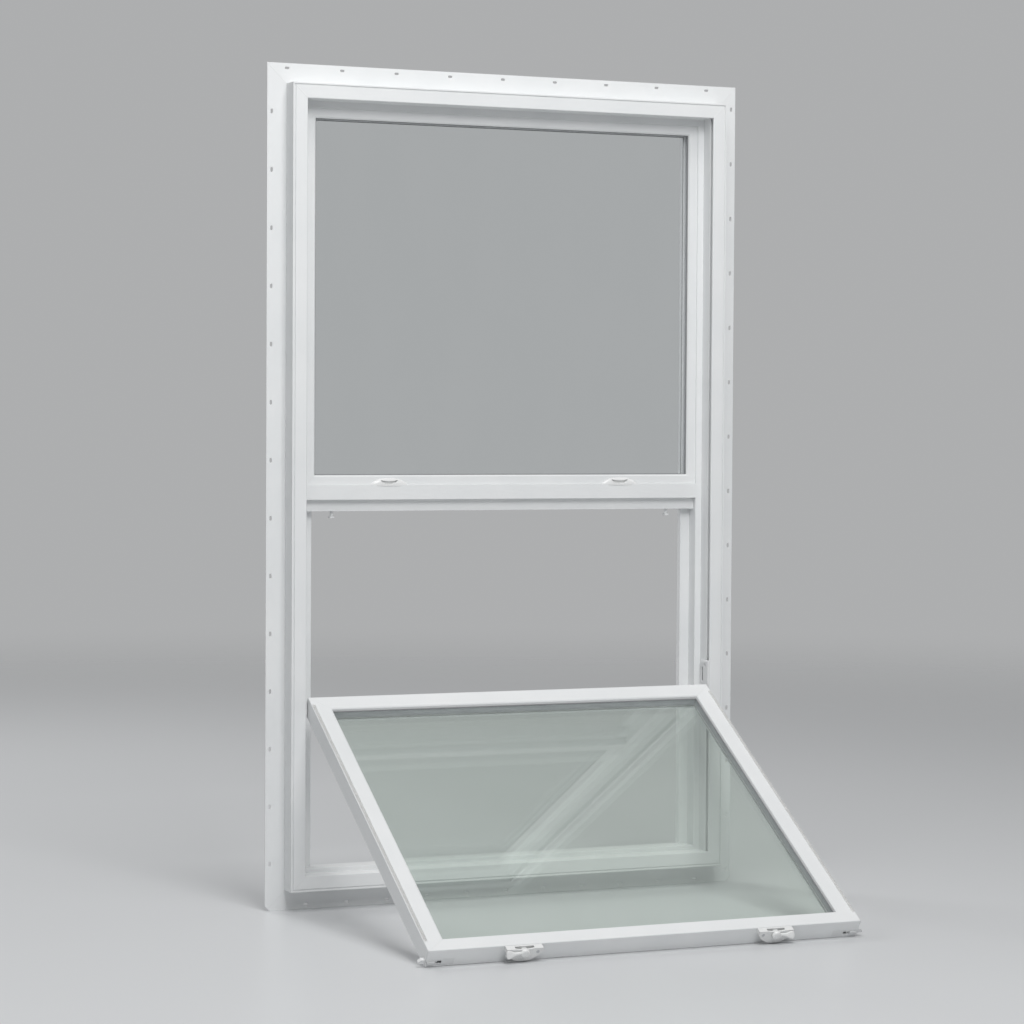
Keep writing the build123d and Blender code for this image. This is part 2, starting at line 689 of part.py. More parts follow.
def pile_seal(name, side):
    """Brush strip along the outdoor face of a stile, close to its edge."""
    with BuildPart() as seal:
        with BuildSketch(sash_level(SASH_LOW + PILE_END_GAP)):
            with Locations((side * (HALF_SASH - PILE_EDGE - PILE_WIDTH / 2), SASH_OUT + PILE_HEIGHT / 2)):
                Rectangle(PILE_WIDTH, PILE_HEIGHT)
        extrude(amount=SASH_HEIGHT - 2 * PILE_END_GAP)
    save(seal, name)


LOCK_BACK = SASH_OUT - LOCK_EDGE_GAP
LOCK_Y = LOCK_BACK - HUB_FROM_BACK
CAM_SLOT_LOW = SASH_HIGH + LOCK_FLOOR
CAM_SLOT_HIGH = CAM_SLOT_LOW + CAM_THICK + 2 * LOCK_CLEARANCE
LOCK_TOP = CAM_SLOT_HIGH + LOCK_ROOF
CAM_SWEEP = CAM_REACH + LOCK_CLEARANCE


def lock_base(name, x):
    """Housing of a sash lock: a D-shaped block with a cam slot open to the outdoors and a hub bore."""
    end = LOCK_LENGTH / 2
    ear = LOCK_BACK - LOCK_EAR_WIDTH
    with BuildPart() as base:
        with BuildSketch(sash_level(SASH_HIGH)):
            with BuildLine():
                Polyline((x - end, ear), (x - end, LOCK_BACK), (x + end, LOCK_BACK), (x + end, ear))
                ThreePointArc((x + end, ear), (x, LOCK_BACK - LOCK_WIDTH), (x - end, ear))
            make_face()
        extrude(amount=LOCK_TOP - SASH_HIGH)
        with BuildSketch(sash_level(CAM_SLOT_LOW)):
            with Locations((x, LOCK_Y)):
                Circle(CAM_SWEEP)
                Rectangle(2 * CAM_SWEEP, HUB_FROM_BACK, align=(Align.CENTER, Align.MIN))
        extrude(amount=CAM_SLOT_HIGH - CAM_SLOT_LOW, mode=Mode.SUBTRACT)
        with BuildSketch(sash_level(CAM_SLOT_HIGH)):
            with Locations((x, LOCK_Y)):
                Circle(HUB_POST_DIAMETER / 2 + LOCK_CLEARANCE)
            with BuildLine():
                Line((x - CAM_SWEEP, LOCK_BACK), (x + CAM_SWEEP, LOCK_BACK))
                notch_floor = (x, LOCK_BACK - LOCK_ROOF_NOTCH)
                ThreePointArc((x + CAM_SWEEP, LOCK_BACK), notch_floor, (x - CAM_SWEEP, LOCK_BACK))
            make_face()
        extrude(amount=LOCK_ROOF, mode=Mode.SUBTRACT)
    save(base, name)


def lock_lever(name, x, side):
    """Sweep lever of a lock on its hub, with the cam below; the paddle points outwards when unlocked."""
    hub_low = LOCK_TOP + LOCK_CLEARANCE
    paddle_x = x + side * PADDLE_CENTRE
    with BuildPart() as lever:
        with BuildSketch(sash_level(CAM_SLOT_LOW + LOCK_CLEARANCE)) as cam_plan:
            with Locations((x, LOCK_Y + CAM_WIDTH / 2)):
                Rectangle(CAM_WIDTH, CAM_WIDTH / 2 + CAM_REACH, align=(Align.CENTER, Align.MAX))
            chamfer(cam_plan.vertices(), length=CAM_CORNER)
        extrude(amount=CAM_THICK)
        with BuildSketch(sash_level(CAM_SLOT_HIGH - LOCK_CLEARANCE)):
            with Locations((x, LOCK_Y)):
                Circle(HUB_POST_DIAMETER / 2)
        extrude(amount=hub_low - CAM_SLOT_HIGH + LOCK_CLEARANCE)
        with BuildSketch(sash_level(hub_low)) as paddle_plan:
            with Locations((paddle_x, LOCK_Y)):
                Rectangle(PADDLE_LENGTH, PADDLE_WIDTH)
            chamfer(paddle_plan.vertices(), length=PADDLE_CORNER)
        extrude(amount=PADDLE_HEIGHT)
        room_edge = LOCK_Y - PADDLE_WIDTH / 2
        out_edge = LOCK_Y + PADDLE_WIDTH / 2
        with BuildSketch(sash_section(paddle_x - PADDLE_LENGTH / 2)):
            with BuildLine():
                Polyline(
                    (room_edge, hub_low + PADDLE_HEIGHT),
                    (out_edge, hub_low + PADDLE_HEIGHT),
                    (out_edge, hub_low + PADDLE_EDGE_HEIGHT),
                    close=True,
                )
            make_face()
        extrude(amount=PADDLE_LENGTH, mode=Mode.SUBTRACT)
        with BuildSketch(sash_level(hub_low)):
            with Locations((x + side * PADDLE_CENTRE / 2, LOCK_Y)):
                Rectangle(PADDLE_CENTRE, LEVER_NECK_WIDTH)
        extrude(amount=LEVER_NECK_HEIGHT)
        with BuildSketch(sash_level(hub_low)):
            with Locations((x, LOCK_Y)):
                Circle(LEVER_HUB_DIAMETER / 2)
        extrude(amount=LEVER_HUB_HEIGHT)
    save(lever, name)


BOLT_WIDTH = LATCH_WIDTH - 2 * (LATCH_WALL + LATCH_CLEARANCE)
BOLT_HEIGHT = LATCH_DEPTH - 2 * (LATCH_WALL + LATCH_CLEARANCE)
BUTTON_START = LATCH_WALL + LATCH_CLEARANCE


def latch_housing(name, side):
    """Casing of a tilt latch, sunk flush in the top edge, with a bolt way and a button slot."""
    with BuildPart() as casing:
        with BuildSketch(sash_level(SASH_HIGH)):
            with Locations((side * (HALF_SASH - LATCH_LENGTH / 2), 0)):
                Rectangle(LATCH_LENGTH, LATCH_WIDTH)
        extrude(amount=-LATCH_DEPTH)
        way = LATCH_LENGTH - LATCH_WALL
        with BuildSketch(sash_level(SASH_HIGH - LATCH_DEPTH + LATCH_WALL)):
            with Locations((side * (HALF_SASH - way / 2), 0)):
                Rectangle(way, LATCH_WIDTH - 2 * LATCH_WALL)
        extrude(amount=LATCH_DEPTH - 2 * LATCH_WALL, mode=Mode.SUBTRACT)
        slot = BUTTON_LENGTH + LATCH_THROW + 2 * LATCH_CLEARANCE
        slot_middle = HALF_SASH - LATCH_WALL - slot / 2
        with BuildSketch(sash_level(SASH_HIGH)):
            with Locations((side * slot_middle, 0)):
                Rectangle(slot, BUTTON_WIDTH + 2 * LATCH_CLEARANCE)
        extrude(amount=-LATCH_DEPTH / 2, mode=Mode.SUBTRACT)
    save(casing, name)


def latch_bolt(name, side):
    """Sliding bolt of a tilt latch: a bevelled tip, thrown out at rest, and a finger button."""
    tip = HALF_SASH + LATCH_THROW
    low = SASH_HIGH - LATCH_DEPTH + LATCH_WALL + LATCH_CLEARANCE
    with BuildPart() as bolt:
        with BuildSketch(sash_level(low)):
            with BuildLine():
                Polyline(
                    (side * (tip - LATCH_BOLT_LENGTH), -BOLT_WIDTH / 2),
                    (side * tip, -BOLT_WIDTH / 2),
                    (side * tip, BOLT_WIDTH / 2 - LATCH_TIP_BEVEL),
                    (side * (tip - LATCH_TIP_BEVEL), BOLT_WIDTH / 2),
                    (side * (tip - LATCH_BOLT_LENGTH), BOLT_WIDTH / 2),
                    close=True,
                )
            make_face()
        extrude(amount=BOLT_HEIGHT)
        button_middle = HALF_SASH - BUTTON_START - BUTTON_LENGTH / 2
        with BuildSketch(sash_level(low + BOLT_HEIGHT)):
            with Locations((side * button_middle, 0)):
                Rectangle(BUTTON_LENGTH, BUTTON_WIDTH)
        extrude(amount=SASH_HIGH + BUTTON_PROUD - low - BOLT_HEIGHT)
    save(bolt, name)


for side, word in ((-1, "left"), (1, "right")):
    pivot_bar(f"{word}_pivot_bar", side)
    pile_seal(f"{word}_pile_seal", side)
    lock_base(f"{word}_lock_base", side * LOCK_SPREAD / 2)
    lock_lever(f"{word}_lock_lever", side * LOCK_SPREAD / 2, side)
    latch_housing(f"{word}_latch_housing", side)
    latch_bolt(f"{word}_latch_bolt", side)
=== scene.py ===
"""Looks of a white vinyl single hung window whose lower sash is raised and tilted into the room."""

import json
import math

import bmesh
import bpy
import numpy as np
from mathutils import Matrix, Vector


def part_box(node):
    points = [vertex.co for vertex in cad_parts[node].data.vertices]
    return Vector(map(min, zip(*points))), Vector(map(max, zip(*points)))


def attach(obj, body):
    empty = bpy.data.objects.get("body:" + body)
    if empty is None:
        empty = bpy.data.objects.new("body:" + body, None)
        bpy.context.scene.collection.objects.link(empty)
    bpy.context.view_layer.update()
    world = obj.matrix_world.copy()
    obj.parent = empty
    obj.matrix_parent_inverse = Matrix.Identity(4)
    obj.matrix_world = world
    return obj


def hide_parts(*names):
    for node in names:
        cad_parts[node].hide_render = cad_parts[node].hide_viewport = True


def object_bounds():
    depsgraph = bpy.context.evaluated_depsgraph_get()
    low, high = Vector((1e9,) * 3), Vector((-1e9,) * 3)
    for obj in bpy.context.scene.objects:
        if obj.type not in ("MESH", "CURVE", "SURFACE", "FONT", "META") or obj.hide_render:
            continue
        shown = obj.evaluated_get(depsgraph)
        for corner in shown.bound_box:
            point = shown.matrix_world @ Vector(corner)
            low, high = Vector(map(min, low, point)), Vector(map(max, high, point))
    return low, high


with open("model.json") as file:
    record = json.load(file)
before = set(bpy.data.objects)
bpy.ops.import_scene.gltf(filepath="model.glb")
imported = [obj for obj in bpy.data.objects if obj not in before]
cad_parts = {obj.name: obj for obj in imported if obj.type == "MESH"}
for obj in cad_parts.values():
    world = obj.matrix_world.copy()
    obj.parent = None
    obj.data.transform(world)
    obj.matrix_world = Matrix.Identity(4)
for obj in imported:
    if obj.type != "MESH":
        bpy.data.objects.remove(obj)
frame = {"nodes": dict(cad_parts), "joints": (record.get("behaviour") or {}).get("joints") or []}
cad_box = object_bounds()
scene = bpy.context.scene
scene.view_settings.view_transform = "Standard"

# Sizes are in metres and angles in degrees, apart from the lens and its sensor, in millimetres
MM = 0.001
MERGE_DISTANCE = 1e-6
SMOOTH_ANGLE = 30.0
OUTLINE_POINTS = 48

# Camera
CAMERA_PLACE = (-2.2269, -5.2459, 0.9104)
CAMERA_LENS = 103.65
CAMERA_SENSOR = 36.0
CAMERA_YAW = 23.102
CAMERA_PITCH = -1.839
CAMERA_ROLL = 0.326

# Floor and light
FLOOR_COLOUR = (0.66, 0.67, 0.68, 1.0)
FLOOR_ROUGHNESS = 0.32
FLOOR_RADII = (1.0, 3.0, 6.0, 9.0)
FLOOR_SIDES = 64
FLOOR_FADE_START = 2.2
FLOOR_FADE_END = 7.5
AMBIENT_COLOUR = (0.24, 0.244, 0.248, 1.0)
BACKDROP_COLOUR = (0.42, 0.425, 0.43, 1.0)
SOFTBOXES = {
    "overhead_softbox": {"place": (-0.7, -1.6, 4.8), "target": (0.0, -0.3, 0.5), "size": 2.4, "watts": 80.0},
    "room_softbox": {"place": (-0.3, -3.2, 3.2), "target": (0.0, 0.0, 0.7), "size": 1.6, "watts": 70.0},
    "outdoor_softbox": {"place": (-1.5, 3.6, 3.2), "target": (0.0, 0.0, 0.8), "size": 1.8, "watts": 60.0},
}

# Vinyl, its weld seams and the glazing lips
VINYL_ARRIS = 0.8 * MM
WELD_ARRIS = 0.1 * MM
DIE_LINES_ACROSS = 260.0
DIE_LINES_ALONG = 1.3
FIN_WIDTH = 38.1 * MM
FIN_CORNER_CUT = 9.0 * MM
FACE_WIDTH = 29.0 * MM
FACE_START = 5.6 * MM
SEAM_WIDTH = 1.8 * MM
SEAM_HEIGHT = 0.2 * MM
SEAM_STATIONS = 25
SEAM_SIDES = 9
SEAM_END_POWER = 12
OUTDOOR_SEAM_SHARE = 0.92
ROOM_SEAM_SHARE = 0.58
LIP_WIDTH = 1.4 * MM
LIP_HEIGHT = 1.3 * MM
LIP_STEPS = 6

# Pile
PILE_PITCH_ALONG = 0.9 * MM
PILE_PITCH_ACROSS = 0.7 * MM
PILE_JITTER = 0.12 * MM
PILE_LEAN = 0.25 * MM
PILE_SHORTEST = 0.72
PILE_SHADE_SPREAD = 2.0
PILE_SEED = 7
TUFT_RADIUS = 0.52 * MM

# Lock screws, whose cross recess is in shares of the head's radius
SCREW_RADIUS = 3.2 * MM
SCREW_HEIGHT = 0.4 * MM
SCREW_OFFSET = 25.0 * MM
SCREW_RINGS = 15
SCREW_SIDES = 48
SCREW_CORE = 0.08
CROSS_ARM = 0.26
CROSS_WALL = 0.08
CROSS_FLARE = 0.25
CROSS_REACH = 0.72
CROSS_END = 0.10
CROSS_DEPTH = 0.8

# Lock levers
LEVER_CLEARANCE = 0.5 * MM
LEVER_STATIONS = 91
LEVER_SIDES = 33
LEVER_SMOOTH_ANGLE = 45.0
HUB_RADIUS = 8.5 * MM
HUB_RISE = 2.3 * MM
NECK_HALF = 3.2 * MM
NECK_CREST = 4.2 * MM
PADDLE_WIDE = 7.0 * MM
PADDLE_RISE = 1.8 * MM
PADDLE_LIFT = 4.0 * MM
FLARE_START = 12.0 * MM
FLARE_LENGTH = 19.0 * MM
TIP_LENGTH = 8.0 * MM
NECK_ROUNDING = 0.5
END_FLATNESS = 0.22
CAM_THICK = 3.5 * MM
CAM_HALF_WIDTH = 6.0 * MM
CAM_SQUARENESS = 4.0
CAM_EDGE = 0.4 * MM
POST_RADIUS = 4.5 * MM
POST_OVERLAP = 1.0 * MM
POST_EDGE = 0.2 * MM

# Keepers
HOOD_SPREAD = 1.12
HOOD_STATIONS = 141
HOOD_ROWS = 57
HOOD_SMOOTH_ANGLE = 40.0
MOUND_POWER = 2.4
MOUND_EASE = 0.7
HOOD_END_POWER = 5
HOOD_FRONT_POWER = 3
APRON_DROP = 2.4 * MM
APRON_THICK = 0.5 * MM
MOUTH_HALF = 17.5 * MM
MOUTH_BROW = 6.8 * MM
MOUTH_LIP = 1.5 * MM
MOUTH_BOW_LIMIT = 2.0
BROW_CURVE = 2.4 * MM
LIP_CURVE = 7.7 * MM
MOUTH_RIM = 0.5 * MM
MOUTH_BACK = 0.6 * MM

# Latch buttons
BUTTON_MIDDLE = 407.0 * MM
BUTTON_HALF_LENGTH = 6.6 * MM
BUTTON_HALF_WIDTH = 2.3 * MM
BUTTON_STATIONS = 97
BUTTON_END_POWER = 16
RIB_PITCH = 1.65 * MM
RIB_HEIGHT = 0.45 * MM
RIB_SINK = 0.2 * MM
RIB_ROUNDING = 0.7
RIB_SMOOTH_ANGLE = 20.0

# Balance shoes
JAMB_WALL = 421.85 * MM
SHOE_PLATE_FRONT = -36.0 * MM
SHOE_PLATE_BACK = -4.0 * MM
SHOE_PLATE_RISE = 42.0 * MM
SHOE_PLATE_THICK = 3.0 * MM
SHOE_PLATE_COLUMNS = 61
SHOE_PLATE_ROWS = 91
SHOE_EDGE_POWER = 16
SHOE_EDGE_ROUNDING = 0.25
SHOE_SLOT_Y = -11.5 * MM
SHOE_SLOT_HALF = 3.0 * MM
SHOE_SLOT_REACH = 14.0 * MM
SHOE_SLOT_DROP = 28.0 * MM
SHOE_SOCKET_Y = -22.5 * MM
SHOE_SOCKET_RADIUS = 3.6 * MM
SHOE_SOCKET_DROP = 10.0 * MM
SHOE_POCKET_DEPTH = 2.6 * MM
SHOE_POCKET_RIM = 0.4 * MM
COLLAR_RADIUS = 6.0 * MM
COLLAR_THICK = 3.6 * MM
COLLAR_EDGE = 0.3 * MM
BRAKE_HALF = 2.4 * MM
BRAKE_REACH = 13.0 * MM
BRAKE_LOW = 0.3 * MM
BRAKE_HIGH = 1.3 * MM
BRAKE_SQUARENESS = 6.0
BRAKE_EDGE = 0.2 * MM
ROUND = 2.0

# The sash's own axes: x along the rails, y towards its outdoor face, z up the stiles
joints = {joint["name"]: joint for joint in frame["joints"]}
SASH_ORIGIN = np.array(joints["sash_tilt"]["pos_m"])
SASH_TILT = -joints["sash_tilt"]["range_deg"][0]
SASH_TURN = np.array(Matrix.Rotation(math.radians(SASH_TILT), 3, "X"))


def on_sash(points):
    """Points given in the sash's axes, turned by the tilt about X and moved to the pivot."""
    return np.asarray(points) @ SASH_TURN.T + SASH_ORIGIN


def sash_box(node):
    """Lowest and highest corner of a CAD node in the sash's axes."""
    mesh = frame["nodes"][node].data
    points = np.empty(3 * len(mesh.vertices))
    mesh.vertices.foreach_get("co", points)
    local = (points.reshape(-1, 3) - SASH_ORIGIN) @ SASH_TURN
    return local.min(axis=0), local.max(axis=0)


# Finishes
class Finish:
    """A procedural material, with short ways to add its nodes and links."""

    def __init__(self, name):
        self.material = bpy.data.materials.new(name)
        self.material.use_nodes = True
        self.tree = self.material.node_tree
        self.shader = self.tree.nodes["Principled BSDF"]
        self.place = self.node("ShaderNodeTexCoord").outputs["Object"]

    def node(self, kind, **values):
        """New node; each value sets an attribute of the node, or an input socket of that name."""
        made = self.tree.nodes.new(kind)
        for key, value in values.items():
            if hasattr(made, key):
                setattr(made, key, value)
            else:
                made.inputs[key.replace("_", " ")].default_value = value
        return made

    def link(self, source, target):
        self.tree.links.new(source, target)

    def set(self, **values):
        """Constant sockets of the shader."""
        for key, value in values.items():
            self.shader.inputs[key.replace("_", " ")].default_value = value

    def stretched(self, scale, turn=0.0):
        """Object coordinates, turned about X and scaled along each axis."""
        mapping = self.node("ShaderNodeMapping", vector_type="TEXTURE")
        mapping.inputs["Rotation"].default_value = (math.radians(turn), 0.0, 0.0)
        mapping.inputs["Scale"].default_value = [1.0 / s for s in scale]
        self.link(self.place, mapping.inputs["Vector"])
        return mapping.outputs["Vector"]

    def noise(self, vector, scale, detail):
        texture = self.node("ShaderNodeTexNoise", Scale=scale, Detail=detail)
        self.link(vector, texture.inputs["Vector"])
        return texture.outputs["Fac"]

    def ramp(self, factor, *stops):
        """Colour ramp through (position, colour) stops."""
        made = self.node("ShaderNodeValToRGB")
        elements = made.color_ramp.elements
        while len(elements) < len(stops):
            elements.new(0.5)
        for element, (position, colour) in zip(elements, stops):
            element.position = position
            element.color = (*colour, 1.0)
        self.link(factor, made.inputs["Fac"])
        return made.outputs["Color"]

    def spread(self, factor, low, high):
        """A factor's 0 to 1 taken to low to high."""
        made = self.node("ShaderNodeMapRange", To_Min=low, To_Max=high)
        self.link(factor, made.inputs["Value"])
        return made.outputs["Result"]

    def rounded_edges(self, radius):
        """Normal that is rounded over sharp edges, at the given radius."""
        return self.node("ShaderNodeBevel", samples=4, Radius=radius).outputs["Normal"]

    def bump(self, height, strength, distance, normal=None):
        made = self.node("ShaderNodeBump", Strength=strength, Distance=distance)
        self.link(height, made.inputs["Height"])
        if normal is not None:
            self.link(normal, made.inputs["Normal"])
        return made.outputs["Normal"]

    def finish(self, colour, roughness, normal):
        self.link(colour, self.shader.inputs["Base Color"])
        self.link(roughness, self.shader.inputs["Roughness"])
        self.link(normal, self.shader.inputs["Normal"])
        return self.material


def vinyl(name, along, arris, turn=0.0):
    """White extruded vinyl: fine die lines along one axis, a soft mottle and rounded arrises."""
    made = Finish(name)
    line_scale = [DIE_LINES_ALONG if axis == along else DIE_LINES_ACROSS for axis in "XYZ"]
    lines = made.noise(made.stretched(line_scale, turn), scale=1.0, detail=3.0)
    mottle = made.noise(made.place, scale=9.0, detail=4.0)
    grain = made.noise(made.place, scale=1500.0, detail=1.0)
    colour = made.ramp(mottle, (0.3, (0.80, 0.815, 0.82)), (0.7, (0.84, 0.85, 0.852)))
    normal = made.bump(lines, strength=0.10, distance=0.4 * MM, normal=made.rounded_edges(arris))
    normal = made.bump(grain, strength=0.04, distance=0.2 * MM, normal=normal)
    return made.finish(colour, made.spread(lines, low=0.26, high=0.40), normal)


def glass(name, tint, smeared_tint):
    """Clear pane with a faint body tint and a breath of dust in its gloss."""
    made = Finish(name)
    made.set(Transmission_Weight=1.0, IOR=1.5)
    smear = made.noise(made.stretched((3.0, 3.0, 1.2)), scale=4.0, detail=3.0)
    made.link(made.ramp(smear, (0.3, tint), (0.8, smeared_tint)), made.shader.inputs["Base Color"])
    made.link(made.spread(smear, low=0.0, high=0.02), made.shader.inputs["Roughness"])
    return made.material


def spacer_metal():
    """Grey painted spacer bar, with mill lines along it."""
    made = Finish("spacer_bar")
    made.set(Metallic=0.2)
    lines = made.noise(made.stretched((30.0, 900.0, 30.0)), scale=1.0, detail=3.0)
    colour = made.ramp(lines, (0.25, (0.40, 0.42, 0.44)), (0.75, (0.56, 0.58, 0.60)))
    normal = made.bump(lines, strength=0.12, distance=0.3 * MM, normal=made.rounded_edges(0.4 * MM))
    return made.finish(colour, made.spread(lines, low=0.40, high=0.60), normal)


def glazing_lip():
    """Soft grey co-extruded lip, matt, with a fine drag grain."""
    made = Finish("glazing_lip")
    grain = made.noise(made.place, scale=700.0, detail=3.0)
    colour = made.ramp(grain, (0.3, (0.20, 0.205, 0.21)), (0.7, (0.29, 0.295, 0.30)))
    normal = made.bump(grain, strength=0.15, distance=0.3 * MM)
    return made.finish(colour, made.spread(grain, low=0.55, high=0.75), normal)


def enamel():
    """White baked enamel over die-cast zinc: glossy, with a slight orange peel."""
    made = Finish("lock_enamel")
    made.set(Coat_Weight=0.35, Coat_Roughness=0.12)
    peel = made.noise(made.place, scale=420.0, detail=2.0)
    tone = made.noise(made.place, scale=40.0, detail=2.0)
    colour = made.ramp(tone, (0.3, (0.80, 0.805, 0.80)), (0.7, (0.85, 0.855, 0.85)))
    normal = made.bump(peel, strength=0.06, distance=0.3 * MM, normal=made.rounded_edges(1.2 * MM))
    return made.finish(colour, made.spread(peel, low=0.22, high=0.34), normal)


def moulded_plastic():
    """White injection-moulded nylon with a fine spark-eroded grain."""
    made = Finish("moulded_nylon")
    grain = made.noise(made.place, scale=1900.0, detail=2.0)
    tone = made.noise(made.place, scale=30.0, detail=2.0)
    colour = made.ramp(tone, (0.3, (0.74, 0.75, 0.755)), (0.7, (0.80, 0.81, 0.81)))
    normal = made.bump(grain, strength=0.10, distance=0.2 * MM, normal=made.rounded_edges(0.6 * MM))
    return made.finish(colour, made.spread(grain, low=0.38, high=0.52), normal)


def steel(name, dull, bright):
    """Bare or plated steel: turned lines round the bar and a clouded brightness."""
    made = Finish(name)
    made.set(Metallic=1.0)
    lines = made.noise(made.stretched((2200.0, 40.0, 40.0)), scale=1.0, detail=2.0)
    cloud = made.noise(made.place, scale=120.0, detail=3.0)
    colour = made.ramp(cloud, (0.3, dull), (0.75, bright))
    normal = made.bump(lines, strength=0.15, distance=0.2 * MM, normal=made.rounded_edges(0.4 * MM))
    return made.finish(colour, made.spread(cloud, low=0.25, high=0.42), normal)


def pile_yarn():
    """White polypropylene pile: every tuft takes its own shade from the strip's attribute."""
    made = Finish("pile_yarn")
    made.set(Sheen_Weight=0.3)
    shade = made.node("ShaderNodeAttribute", attribute_name="tuft_shade").outputs["Fac"]
    fibres = made.noise(made.place, scale=2600.0, detail=2.0)
    colour = made.ramp(
        shade,
        (0.0, (0.80, 0.80, 0.79)),
        (0.5, (0.91, 0.91, 0.90)),
        (1.0, (0.96, 0.96, 0.955)),
    )
    normal = made.bump(fibres, strength=0.3, distance=0.3 * MM)
    return made.finish(colour, made.spread(fibres, low=0.75, high=0.95), normal)


VINYL_UPRIGHT = vinyl("vinyl_upright", "Z", VINYL_ARRIS)
VINYL_LEVEL = vinyl("vinyl_level", "X", VINYL_ARRIS)
VINYL_SASH_UPRIGHT = vinyl("vinyl_sash_upright", "Z", VINYL_ARRIS, SASH_TILT)
VINYL_SASH_LEVEL = vinyl("vinyl_sash_level", "X", VINYL_ARRIS, SASH_TILT)
VINYL_WELD = vinyl("vinyl_weld", "Z", WELD_ARRIS)
UPPER_GLASS = glass("upper_float_glass", (0.945, 0.958, 0.960), (0.955, 0.966, 0.968))
SASH_GLASS = glass("sash_float_glass", (0.912, 0.955, 0.922), (0.924, 0.961, 0.933))
LIP = glazing_lip()
SPACER = spacer_metal()
ENAMEL = enamel()
PLASTIC = moulded_plastic()
STEEL = steel("plated_steel", (0.50, 0.51, 0.53), (0.68, 0.69, 0.70))
# Near-black steel of the brake leaves: partly the leaf's own dark spring steel, partly painted shade standing
# in for the shadow in the shoe plate's slot
SPRING_STEEL_AND_POCKET_SHADE = steel("spring_steel", (0.10, 0.10, 0.11), (0.17, 0.17, 0.18))
PILE = pile_yarn()


def both_sides(*parts):
    """Names of the left and right node of each part."""
    return [f"{side}_{part}" for side in ("left", "right") for part in parts]


NODE_FINISHES = {
    VINYL_UPRIGHT: ["left_jamb", "right_jamb", "upper_left_bead", "upper_right_bead"],
    VINYL_LEVEL: ["head_frame", "sill_frame", "meeting_rail", "upper_top_bead", "upper_bottom_bead"],
    VINYL_SASH_UPRIGHT: ["sash_left_stile", "sash_right_stile", "sash_left_bead", "sash_right_bead"],
    VINYL_SASH_LEVEL: ["sash_top_rail", "sash_bottom_rail", "sash_top_bead", "sash_bottom_bead"],
    UPPER_GLASS: ["upper_room_pane", "upper_outer_pane"],
    SASH_GLASS: ["sash_room_pane", "sash_outer_pane"],
    SPACER: ["upper_spacer", "sash_spacer"],
    ENAMEL: both_sides("lock_base", "lock_lever", "keeper"),
    PLASTIC: both_sides("balance_shoe", "guide_pin", "latch_housing", "latch_bolt"),
    STEEL: both_sides("pivot_bar"),
    PILE: both_sides("pile_seal"),
}
for finish, nodes in NODE_FINISHES.items():
    for node in nodes:
        mesh = frame["nodes"][node].data
        mesh.materials.clear()
        mesh.materials.append(finish)
panes = [frame["nodes"][node] for node in NODE_FINISHES[UPPER_GLASS] + NODE_FINISHES[SASH_GLASS]]
for pane in panes:
    pane.visible_shadow = False
    pane.visible_diffuse = False


# Ways to make the new pieces
def add_piece(name, points, faces, finish, body, smooth_angle=SMOOTH_ANGLE, merged=True):
    """Mesh of a closed surface, at the origin with its place in its points, riding on a body."""
    mesh = bpy.data.meshes.new(name)
    mesh.from_pydata(np.asarray(points).tolist(), [], np.asarray(faces).tolist())
    shape = bmesh.new()
    shape.from_mesh(mesh)
    if merged:
        bmesh.ops.remove_doubles(shape, verts=shape.verts, dist=MERGE_DISTANCE)
    bmesh.ops.recalc_face_normals(shape, faces=shape.faces)
    shape.to_mesh(mesh)
    shape.free()
    mesh.polygons.foreach_set("use_smooth", np.ones(len(mesh.polygons), dtype=bool))
    mesh.set_sharp_from_angle(angle=math.radians(smooth_angle))
    mesh.materials.append(finish)
    piece = bpy.data.objects.new(name, mesh)
    scene.collection.objects.link(piece)
    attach(piece, body)
    return piece


def tube_faces(rows, columns):
    """Quads between the rings of a grid of points; each ring of columns closes on itself."""
    index = np.arange(rows * columns).reshape(rows, columns)
    index = np.hstack([index, index[:, :1]])
    corners = [index[:-1, :-1], index[:-1, 1:], index[1:, 1:], index[1:, :-1]]
    return np.stack(corners, axis=-1).reshape(-1, 4)


def tube(grid):
    """Points and faces of a grid (rows, columns, 3) whose rings of columns close on themselves."""
    return grid.reshape(-1, 3), tube_faces(*grid.shape[:2])


def joined(shapes):
    """Several (points, faces) shapes of four-cornered faces as one."""
    starts = np.cumsum([0] + [len(points) for points, _ in shapes])
    points = np.vstack([points for points, _ in shapes])
    return points, np.vstack([faces + start for (_, faces), start in zip(shapes, starts)])


def cosine_steps(count):
    """Steps from -1 to 1, closer together towards both ends: -cos(a) for a from 0 to pi."""
    return -np.cos(np.linspace(0.0, np.pi, count))


def rounded_plate(outline, low, high, edge):
    """Plate from a closed outline (n, 2): rings from a pole below, over rounded rims, to a pole above.

    A ring is the outline scaled about its middle by k at height z, for (k, z) along the plate's side.
    """
    middle = outline.mean(axis=0)
    inset = 1.0 - edge / np.abs(outline - middle).max()
    steps = [(0.0, low), (inset, low), (1.0, low + edge), (1.0, high - edge), (inset, high), (0.0, high)]
    scale, height = (np.array(column)[:, None, None] for column in zip(*steps))
    flat = middle + (outline - middle) * scale
    return tube(np.concatenate([flat, np.broadcast_to(height, flat.shape[:2] + (1,))], axis=2))


def superellipse(middle, half_width, half_height, power):
    """Closed outline |x/a|^p + |y/b|^p = 1 about a middle point."""
    angle = np.linspace(0.0, 2.0 * np.pi, OUTLINE_POINTS, endpoint=False)
    cosine, sine = np.cos(angle), np.sin(angle)
    x = half_width * np.sign(cosine) * np.abs(cosine) ** (2.0 / power)
    y = half_height * np.sign(sine) * np.abs(sine) ** (2.0 / power)
    return np.stack([x + middle[0], y + middle[1]], axis=1)


